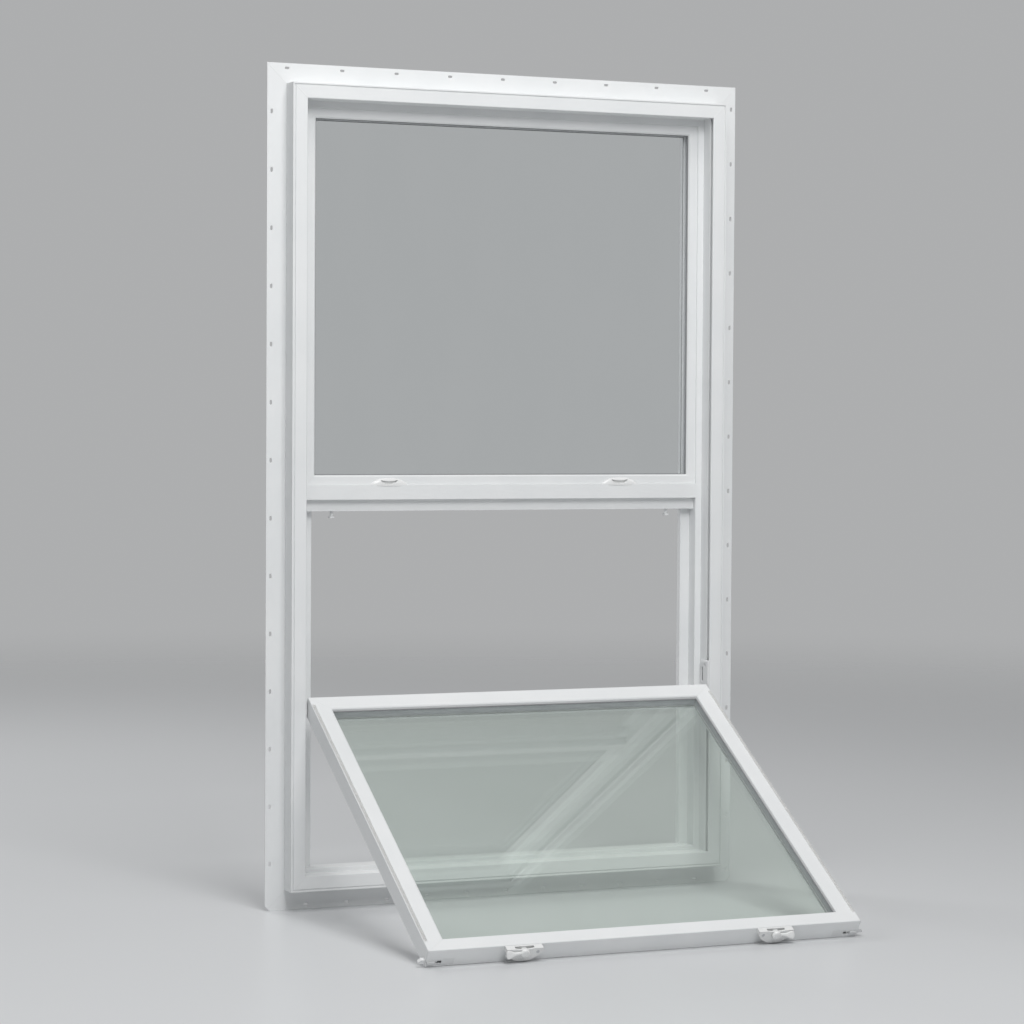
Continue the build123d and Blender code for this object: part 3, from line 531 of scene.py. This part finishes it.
# Pile, locks, latches and shoes
def pile_brush(name, node):
    """Strip of pile: tufts on a jittered grid, each a leaning three-sided spike.

    Tuft (i, j) stands at (x0 + i pitch, z0 + j pitch) plus noise; its foot is a triangle of the
    tuft's radius on the stile, and its tip is raised by the pile height and shifted by the lean.
    """
    low, high = sash_box(node)
    rng = np.random.default_rng(PILE_SEED)
    across = np.arange(low[0] + PILE_PITCH_ACROSS / 2, high[0], PILE_PITCH_ACROSS)
    along = np.arange(low[2] + PILE_PITCH_ALONG, high[2] - PILE_PITCH_ALONG / 2, PILE_PITCH_ALONG)
    x, z = (axis.ravel() for axis in np.meshgrid(across, along))
    count = x.size
    foot = np.stack([x, np.full(count, low[1]), z], axis=1)
    foot[:, ::2] += rng.uniform(-PILE_JITTER, PILE_JITTER, (count, 2))
    lean = rng.normal(0.0, PILE_LEAN, (count, 2))
    height = (high[1] - low[1]) * rng.uniform(PILE_SHORTEST, 1.0, count)
    tip = foot + np.stack([lean[:, 0], height, lean[:, 1]], axis=1)
    angle = rng.uniform(0.0, 2.0 * np.pi, count)[:, None] + np.arange(3) * 2.0 * np.pi / 3.0
    ring = np.stack([np.cos(angle), np.zeros_like(angle), np.sin(angle)], axis=2) * TUFT_RADIUS
    points = np.concatenate([foot[:, None, :] + ring, tip[:, None, :]], axis=1).reshape(-1, 3)
    points[:, 0] = np.clip(points[:, 0], low[0], high[0])
    sides = np.array([[0, 3, 1], [1, 3, 2], [2, 3, 0], [0, 1, 2]])
    faces = (4 * np.arange(count)[:, None, None] + sides[None]).reshape(-1, 3)
    piece = add_piece(name, on_sash(points), faces, PILE, "sash", merged=False)
    shade = np.repeat(rng.beta(PILE_SHADE_SPREAD, PILE_SHADE_SPREAD, count), 4)
    piece.data.attributes.new("tuft_shade", "FLOAT", "POINT").data.foreach_set("value", shade)
    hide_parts(node)


def screw_head():
    """Pan head with a cross recess, on a polar grid, closed below.

    Crest z = height (1 - (r/R)^4); the recess takes a share of it away inside either arm of the cross.
    """
    share = np.concatenate([[0.0], np.linspace(SCREW_CORE, 1.0, SCREW_RINGS), [0.0]])[:, None]
    angle = np.linspace(0.0, 2.0 * np.pi, SCREW_SIDES, endpoint=False)[None, :]
    x, y = share * np.cos(angle), share * np.sin(angle)
    arms = np.minimum(np.abs(x) + CROSS_FLARE * np.abs(y), np.abs(y) + CROSS_FLARE * np.abs(x))
    recess = np.clip((CROSS_ARM - arms) / CROSS_WALL, 0.0, 1.0)
    recess = recess * np.clip((CROSS_REACH - np.hypot(x, y)) / CROSS_END, 0.0, 1.0)
    crest = (1.0 - share**4) * (1.0 - CROSS_DEPTH * recess)
    crest[-1] = 0.0
    return tube(np.stack([x * SCREW_RADIUS, y * SCREW_RADIUS, crest * SCREW_HEIGHT], axis=-1))


def lock_screws(name, base, hub):
    """Two low screw heads in the roof of a lock's housing, either side of its hub."""
    top = sash_box(base)[1][2]
    points, faces = screw_head()
    places = [(hub[0] + offset, hub[1], top) for offset in (-SCREW_OFFSET, SCREW_OFFSET)]
    points, faces = joined([(points + place, faces) for place in places])
    add_piece(name, on_sash(points), faces, STEEL, "sash")


def lever_arm(hub, seat, reach, side):
    """Arm of a sweep lever: a rounded section carried from the hub to the fishtail end.

    At distance t from the hub the half width is w = (hub^4 + neck^4 + paddle^4)^(1/4) of three plan
    curves: a circle, a bar, and a smooth step that flares and rounds off at the tip. Angle a from 0
    to pi gives across = w cos(a) and up = (h - lift cos(a)) sin(a)^p, where the crest h and the lift
    towards the room follow the same curves, and p is small at the hub, so that its end is flat.
    The underside is flat.
    """
    half = (HUB_RADIUS + reach) / 2.0
    t = half - HUB_RADIUS + half * cosine_steps(LEVER_STATIONS)
    hub_curve = np.sqrt(np.clip(1.0 - (t / HUB_RADIUS) ** 2, 0.0, None))
    step = np.clip((t - FLARE_START) / FLARE_LENGTH, 0.0, 1.0)
    tip = np.clip((t - reach + TIP_LENGTH) / TIP_LENGTH, 0.0, 1.0)
    paddle_curve = step**2 * (3.0 - 2.0 * step) * (1.0 - tip**4) ** 0.25
    neck_curve = np.where((t > 0.0) & (t < reach - TIP_LENGTH), 1.0, 0.0)
    curves = np.stack([HUB_RADIUS * hub_curve, NECK_HALF * neck_curve, PADDLE_WIDE * paddle_curve])
    width = (curves**4).sum(axis=0) ** 0.25
    crest = NECK_CREST + HUB_RISE * hub_curve**0.5 + PADDLE_RISE * paddle_curve
    crest = crest * np.clip(width / NECK_HALF, 0.0, 1.0) ** 0.5
    lift = PADDLE_LIFT * paddle_curve
    power = NECK_ROUNDING - END_FLATNESS * np.maximum(hub_curve, paddle_curve)[:, None]
    angle = np.linspace(0.0, np.pi, LEVER_SIDES)[None, :]
    across = width[:, None] * np.cos(angle)
    up = (crest[:, None] - lift[:, None] * np.cos(angle)) * np.sin(angle).clip(0.0) ** power
    along = np.broadcast_to(t[:, None], across.shape)
    return tube(np.stack([hub[0] + side * along, hub[1] + across, seat + up], axis=-1))


def lever_casting(name, node, body, base, hub, side):
    """Sweep lever of a lock: its arm over the housing, its cam below and the post between them."""
    low, high = sash_box(node)
    seat = sash_box(base)[1][2] + LEVER_CLEARANCE
    reach = max(abs(low[0] - hub[0]), abs(high[0] - hub[0]))
    cam_low, cam_high = low[2], low[2] + CAM_THICK
    cam_middle = (hub[0], (low[1] + hub[1] + CAM_HALF_WIDTH) / 2.0)
    cam_half = (hub[1] + CAM_HALF_WIDTH - low[1]) / 2.0
    cam_outline = superellipse(cam_middle, CAM_HALF_WIDTH, cam_half, CAM_SQUARENESS)
    post_outline = superellipse(hub, POST_RADIUS, POST_RADIUS, ROUND)
    shapes = [
        lever_arm(hub, seat, reach, side),
        rounded_plate(cam_outline, cam_low, cam_high, CAM_EDGE),
        rounded_plate(post_outline, cam_high - POST_OVERLAP, seat + POST_OVERLAP, POST_EDGE),
    ]
    points, faces = joined(shapes)
    piece = add_piece(name, on_sash(points), faces, ENAMEL, body, LEVER_SMOOTH_ANGLE)
    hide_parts(node)


def keeper_hood(name, node):
    """Keeper of a sash lock: a long low mound over the rail's ledge with a crescent mouth for the cam.

    At share u along it the crest is H (1 - |u|^2.4)^0.7, and an apron hangs below the ledge in the
    same curve. Share v up it stands out by D (1 - |u|^5)^0.5 (1 - v^3)^0.5, less the mouth's depth
    inside a crescent. Its brow and its lower lip both curve up to the corners, the lip more, and at
    share m along the mouth they are at brow + a m^2 and lip + b m^3. The back is flat.
    """
    low, high = (np.array(corner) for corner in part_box(node))
    depth, height = high[1] - low[1] + APRON_THICK, high[2] - low[2]
    half, middle = HOOD_SPREAD * (high[0] - low[0]) / 2.0, (high[0] + low[0]) / 2.0
    u = cosine_steps(HOOD_STATIONS)[:, None]
    v = np.linspace(0.0, 1.0, HOOD_ROWS)[None, :]
    curve = np.clip(1.0 - np.abs(u) ** MOUND_POWER, 0.0, None) ** MOUND_EASE
    ends = np.clip(1.0 - np.abs(u) ** HOOD_END_POWER, 0.0, None) ** 0.5
    out = depth * ends * np.sqrt(1.0 - v**HOOD_FRONT_POWER)
    rise = curve * (v * (height + APRON_DROP) - APRON_DROP)
    bow = np.minimum(np.abs(u * half / MOUTH_HALF), MOUTH_BOW_LIMIT)
    brow, lip = MOUTH_BROW + BROW_CURVE * bow**2, MOUTH_LIP + LIP_CURVE * bow**3
    mouth = np.clip(np.minimum(brow - rise, rise - lip) / MOUTH_RIM, 0.0, 1.0)
    out = out - mouth * (out - MOUTH_BACK).clip(0.0, None)
    x = np.broadcast_to(middle + half * u, out.shape)
    front = np.stack([x, high[1] - out, low[2] + rise], axis=-1)
    back = front[:, ::-1].copy()
    back[:, :, 1] = high[1]
    points, faces = tube(np.concatenate([front, back], axis=1))
    piece = add_piece(name, points, faces, ENAMEL, "frame", HOOD_SMOOTH_ANGLE)
    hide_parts(node)


def button_grip(name, bolt, body):
    """Ribbed pad on a latch's finger button: ribs of height |sin| along it, closed below."""
    low, high = sash_box(bolt)
    middle = BUTTON_MIDDLE * np.sign(low[0])
    x = np.linspace(-BUTTON_HALF_LENGTH, BUTTON_HALF_LENGTH, BUTTON_STATIONS)[:, None]
    side = np.array([-1.0, -1.0, 1.0, 1.0])[None, :]
    top = np.array([0.0, 1.0, 1.0, 0.0])[None, :]
    rib = RIB_HEIGHT * np.abs(np.sin(np.pi * x / RIB_PITCH)) ** RIB_ROUNDING
    closed = np.sqrt(np.clip(1.0 - (x / BUTTON_HALF_LENGTH) ** BUTTON_END_POWER, 0.0, None))
    y = side * BUTTON_HALF_WIDTH * closed
    z = high[2] - RIB_SINK + top * (rib + RIB_SINK) * closed
    points, faces = tube(np.stack(np.broadcast_arrays(middle + x, y, z), axis=-1))
    add_piece(name, on_sash(points), faces, PLASTIC, body, RIB_SMOOTH_ANGLE)


def shoe_plate(name, low, top, side):
    """Face plate of a balance shoe against the jamb, with a collar round the pivot.

    At shares (u, v) across and up the plate its face stands off the jamb by
    T ((1 - u^16) (1 - v^16))^0.25, less a long slot and a round socket of the pocket's depth.
    """
    half_y, half_z = (SHOE_PLATE_BACK - SHOE_PLATE_FRONT) / 2.0, (top - low) / 2.0
    middle_y, middle_z = (SHOE_PLATE_BACK + SHOE_PLATE_FRONT) / 2.0, (top + low) / 2.0
    u = cosine_steps(SHOE_PLATE_COLUMNS)[:, None]
    v = cosine_steps(SHOE_PLATE_ROWS)[None, :]
    edges = ((1.0 - u**SHOE_EDGE_POWER) * (1.0 - v**SHOE_EDGE_POWER)).clip(0.0)
    off = SHOE_PLATE_THICK * edges**SHOE_EDGE_ROUNDING
    y, z = np.broadcast_arrays(middle_y + half_y * u, middle_z + half_z * v)
    slot_y, slot_z = np.abs(y - SHOE_SLOT_Y), np.abs(z - top + SHOE_SLOT_DROP)
    in_slot = np.minimum(SHOE_SLOT_HALF - slot_y, SHOE_SLOT_REACH - slot_z)
    in_socket = SHOE_SOCKET_RADIUS - np.hypot(y - SHOE_SOCKET_Y, z - top + SHOE_SOCKET_DROP)
    pocket = np.clip(np.maximum(in_slot, in_socket) / SHOE_POCKET_RIM, 0.0, 1.0)
    front = np.stack([off - pocket * SHOE_POCKET_DEPTH, y, z], axis=-1)
    back = front[:, ::-1].copy()
    back[:, :, 0] = 0.0
    ring = superellipse(SASH_ORIGIN[1:], COLLAR_RADIUS, COLLAR_RADIUS, ROUND)
    collar, collar_faces = rounded_plate(ring, 0.0, COLLAR_THICK, COLLAR_EDGE)
    plate = tube(np.concatenate([front, back], axis=1))
    points, faces = joined([plate, (collar[:, [2, 0, 1]], collar_faces)])
    points[:, 0] = side * (JAMB_WALL - points[:, 0])
    add_piece(name, points, faces, PLASTIC, "shoes")


def shoe_brake(name, top, side):
    """Spring leaf of a shoe's brake: a thin rounded plate in the face plate's slot. Its near-black steel is
    partly the leaf's own dark steel and partly painted shade for the shadow down in the slot.
    """
    outline = superellipse((SHOE_SLOT_Y, top - SHOE_SLOT_DROP), BRAKE_HALF, BRAKE_REACH, BRAKE_SQUARENESS)
    points, faces = rounded_plate(outline, BRAKE_LOW, BRAKE_HIGH, BRAKE_EDGE)
    points = np.stack([side * (JAMB_WALL - points[:, 2]), points[:, 0], points[:, 1]], axis=1)
    add_piece(name, points, faces, SPRING_STEEL_AND_POCKET_SHADE, "shoes")


# Weld seams and glazing lips
def seam(start, end, out):
    """Low round ridge from start to end, standing out along a unit vector, with closed ends.

    At share s of the way its section is width cos(a) across and height sin(a)^2 out, both drawn in
    by (1 - |2s - 1|^12)^0.5.
    """
    start, end, out = (np.asarray(v, dtype=float) for v in (start, end, out))
    share = np.linspace(0.0, 1.0, SEAM_STATIONS)
    taper = np.sqrt(1.0 - np.abs(2.0 * share - 1.0) ** SEAM_END_POWER)[:, None, None]
    angle = np.linspace(0.0, np.pi, SEAM_SIDES)[None, :, None]
    across = np.cross(end - start, out)
    across /= np.linalg.norm(across)
    middle = start + (end - start) * share[:, None]
    section = across * (np.cos(angle) * SEAM_WIDTH / 2.0) + out * (np.sin(angle) ** 2 * SEAM_HEIGHT)
    return tube(middle[:, None, :] + taper * section)


def frame_seams():
    """Weld lines of the frame's mitred corners, across the fin and across the room face."""
    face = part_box("left_jamb")[0].y
    edge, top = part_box("head_frame")[1].x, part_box("head_frame")[1].z
    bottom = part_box("sill_frame")[0].z
    shapes = []
    for side in (-1.0, 1.0):
        for rim, inward, cut in ((top, -1.0, 0.0), (bottom, 1.0, FIN_CORNER_CUT / 2.0)):
            fin_run = (cut, FIN_WIDTH, 0.0)
            face_run = (FIN_WIDTH + FACE_START, FIN_WIDTH + FACE_WIDTH, face)
            for start, end, level in (fin_run, face_run):
                ends = [(side * (edge - inset), level, rim + inward * inset) for inset in (start, end)]
                shapes.append(seam(*ends, (0.0, -1.0, 0.0)))
    points, faces = joined(shapes)
    add_piece("frame_corner_seams", points, faces, VINYL_WELD, "frame")


def sash_seams():
    """Weld lines of the sash's mitred corners, on its outdoor face and beside the beads on its room face."""
    low, high = sash_box("sash_left_stile")
    rails = ((low[2], sash_box("sash_bottom_rail")[1][2]), (high[2], sash_box("sash_top_rail")[0][2]))
    shapes = []
    for side in (-1.0, 1.0):
        for rim, opening in rails:
            for level, out, share in ((high[1], 1.0, OUTDOOR_SEAM_SHARE), (low[1], -1.0, ROOM_SEAM_SHARE)):
                outer = np.array((side * -low[0], level, rim))
                inner = np.array((side * -high[0], level, opening))
                shapes.append(seam(outer, outer + (inner - outer) * share, (0.0, out, 0.0)))
    points, faces = joined(shapes)
    add_piece("sash_corner_seams", on_sash(points), faces, VINYL_WELD, "sash")


def lip_ring(low, high, level, out):
    """Soft glazing lip round a rectangular opening: a quarter-round profile along four mitred sides.

    Profile point (inset, lift) sits at the rectangle drawn in by inset, at level + out * lift.
    """
    angle = np.linspace(0.0, np.pi / 2.0, LIP_STEPS)
    inset = np.concatenate([[0.0], LIP_WIDTH * np.sin(angle)])
    lift = np.concatenate([[0.0], LIP_HEIGHT * np.cos(angle)])
    corner = np.array([[-1, -1], [1, -1], [1, 1], [-1, 1], [-1, -1]])
    low, high = np.asarray(low), np.asarray(high)
    middle, half = (low + high) / 2.0, (high - low) / 2.0
    flat = middle + corner[:, None, :] * (half - inset[None, :, None])
    depth = np.broadcast_to(level + out * lift[None, :, None], flat.shape[:2] + (1,))
    return tube(np.concatenate([flat[:, :, :1], depth, flat[:, :, 1:]], axis=2))


def upper_lips():
    """Soft grey lips of the upper glass, against its beads in the room and the frame's legs outdoors."""
    sight, leg = -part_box("upper_left_bead")[1].x, -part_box("left_jamb")[1].x
    sill_line, head_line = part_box("upper_bottom_bead")[1].z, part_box("upper_top_bead")[0].z
    leg_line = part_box("head_frame")[0].z
    shapes = [
        lip_ring((-sight, sill_line), (sight, head_line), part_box("upper_room_pane")[0].y, -1.0),
        lip_ring((-leg, sill_line), (leg, leg_line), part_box("upper_outer_pane")[1].y, 1.0),
    ]
    points, faces = joined(shapes)
    add_piece("upper_glazing_lips", points, faces, LIP, "frame")


def sash_lips():
    """Soft grey lips of the sash's glass, against its beads in the room and its stiles and rails outdoors."""
    stile_edge = -sash_box("sash_left_stile")[1][0]
    low = (-stile_edge, sash_box("sash_bottom_rail")[1][2])
    high = (stile_edge, sash_box("sash_top_rail")[0][2])
    shapes = [
        lip_ring(low, high, sash_box("sash_room_pane")[0][1], -1.0),
        lip_ring(low, high, sash_box("sash_outer_pane")[1][1], 1.0),
    ]
    points, faces = joined(shapes)
    add_piece("sash_glazing_lips", on_sash(points), faces, LIP, "sash")


for side, word in ((-1, "left"), (1, "right")):
    hub = ((np.array(joints[f"{word}_lock_turn"]["pos_m"]) - SASH_ORIGIN) @ SASH_TURN)[:2]
    lock_base, lock_lever = f"{word}_lock_base", f"{word}_lock_lever"
    shoe_low, shoe_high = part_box(f"{word}_balance_shoe")
    plate_top = shoe_high.z + SHOE_PLATE_RISE
    pile_brush(f"{word}_pile_brush", f"{word}_pile_seal")
    lock_screws(f"{word}_lock_screws", lock_base, hub)
    lever_casting(f"{word}_lever_casting", lock_lever, f"{word}_lever", lock_base, hub, side)
    keeper_hood(f"{word}_keeper_hood", f"{word}_keeper")
    button_grip(f"{word}_button_grip", f"{word}_latch_bolt", f"{word}_bolt")
    shoe_plate(f"{word}_shoe_plate", shoe_low.z, plate_top, side)
    shoe_brake(f"{word}_shoe_brake", plate_top, side)
frame_seams()
sash_seams()
upper_lips()
sash_lips()


# Floor, light and camera
def floor():
    """Pale floor disc: rings at a few radii and the angle round them, fading out into the backdrop."""
    angle = np.linspace(0.0, 2.0 * np.pi, FLOOR_SIDES, endpoint=False)
    ring = np.stack([np.cos(angle), np.sin(angle), np.zeros(FLOOR_SIDES)], axis=1)
    level = (0.0, 0.0, cad_box[0].z)
    rings, ring_faces = tube(np.array(FLOOR_RADII)[:, None, None] * ring + level)
    here = np.arange(FLOOR_SIDES)
    middle_faces = np.stack([here, np.roll(here, -1), np.full(FLOOR_SIDES, len(rings))], axis=1)
    mesh = bpy.data.meshes.new("floor")
    faces = middle_faces.tolist() + ring_faces[:, ::-1].tolist()
    mesh.from_pydata(np.vstack([rings, level]).tolist(), [], faces)
    made = Finish("pale_floor")
    made.set(Base_Color=FLOOR_COLOUR, Roughness=FLOOR_ROUGHNESS)
    distance = made.node("ShaderNodeVectorMath", operation="LENGTH")
    made.link(made.place, distance.inputs[0])
    fade = made.node(
        "ShaderNodeMapRange",
        interpolation_type="SMOOTHSTEP",
        From_Min=FLOOR_FADE_START,
        From_Max=FLOOR_FADE_END,
        To_Min=1.0,
        To_Max=0.0,
    )
    made.link(distance.outputs["Value"], fade.inputs["Value"])
    made.link(fade.outputs["Result"], made.shader.inputs["Alpha"])
    mesh.materials.append(made.material)
    piece = bpy.data.objects.new("floor", mesh)
    scene.collection.objects.link(piece)


def flagged_from(objects):
    """Collection that keeps a lamp's light off these objects, so that they mirror the backdrop alone."""
    flags = bpy.data.collections.new("flagged_panes")
    for thing in objects:
        flags.objects.link(thing)
    for member in flags.collection_objects:
        member.light_linking.link_state = "EXCLUDE"
    return flags


def softbox(name, flags, place, target, size, watts):
    """Large area lamp aimed at a point, flagged off the panes."""
    lamp = bpy.data.lights.new(name, "AREA")
    lamp.shape = "SQUARE"
    lamp.size = size
    lamp.energy = watts
    made = bpy.data.objects.new(name, lamp)
    made.location = place
    made.rotation_euler = (Vector(target) - Vector(place)).to_track_quat("-Z", "Y").to_euler()
    made.light_linking.receiver_collection = flags
    scene.collection.objects.link(made)


def studio_world():
    """Soft grey surround: one level for the light it gives, and a paler one where it is seen."""
    world = bpy.data.worlds.new("studio")
    scene.world = world
    world.use_nodes = True
    tree = world.node_tree
    ambient = tree.nodes["Background"]
    ambient.inputs["Color"].default_value = AMBIENT_COLOUR
    backdrop = tree.nodes.new("ShaderNodeBackground")
    backdrop.inputs["Color"].default_value = BACKDROP_COLOUR
    path = tree.nodes.new("ShaderNodeLightPath")
    seen = path.outputs["Is Camera Ray"]
    for ray in ("Is Glossy Ray", "Is Transmission Ray"):
        either = tree.nodes.new("ShaderNodeMath")
        either.operation = "MAXIMUM"
        tree.links.new(seen, either.inputs[0])
        tree.links.new(path.outputs[ray], either.inputs[1])
        seen = either.outputs["Value"]
    mix = tree.nodes.new("ShaderNodeMixShader")
    tree.links.new(seen, mix.inputs["Fac"])
    tree.links.new(ambient.outputs["Background"], mix.inputs[1])
    tree.links.new(backdrop.outputs["Background"], mix.inputs[2])
    tree.links.new(mix.outputs["Shader"], tree.nodes["World Output"].inputs["Surface"])


def room_camera():
    """Camera in the room, to the left of the window; its yaw, pitch and roll give its three axes."""
    yaw, pitch, roll = (math.radians(a) for a in (CAMERA_YAW, CAMERA_PITCH, CAMERA_ROLL))
    level_forward = Vector((math.sin(yaw), math.cos(yaw), 0.0))
    forward = level_forward * math.cos(pitch) + Vector((0.0, 0.0, math.sin(pitch)))
    level_right = Vector((math.cos(yaw), -math.sin(yaw), 0.0))
    level_up = level_right.cross(forward)
    right = level_right * math.cos(roll) + level_up * math.sin(roll)
    up = level_up * math.cos(roll) - level_right * math.sin(roll)
    lens = bpy.data.cameras.new("camera")
    lens.lens = CAMERA_LENS
    lens.sensor_width = CAMERA_SENSOR
    camera = bpy.data.objects.new("camera", lens)
    turn = Matrix((right, up, -forward)).transposed()
    camera.matrix_world = Matrix.LocRotScale(Vector(CAMERA_PLACE), turn.to_quaternion(), None)
    scene.collection.objects.link(camera)
    scene.camera = camera


floor()
pane_flags = flagged_from(panes)
for name, settings in SOFTBOXES.items():
    softbox(name, pane_flags, **settings)
studio_world()
room_camera()
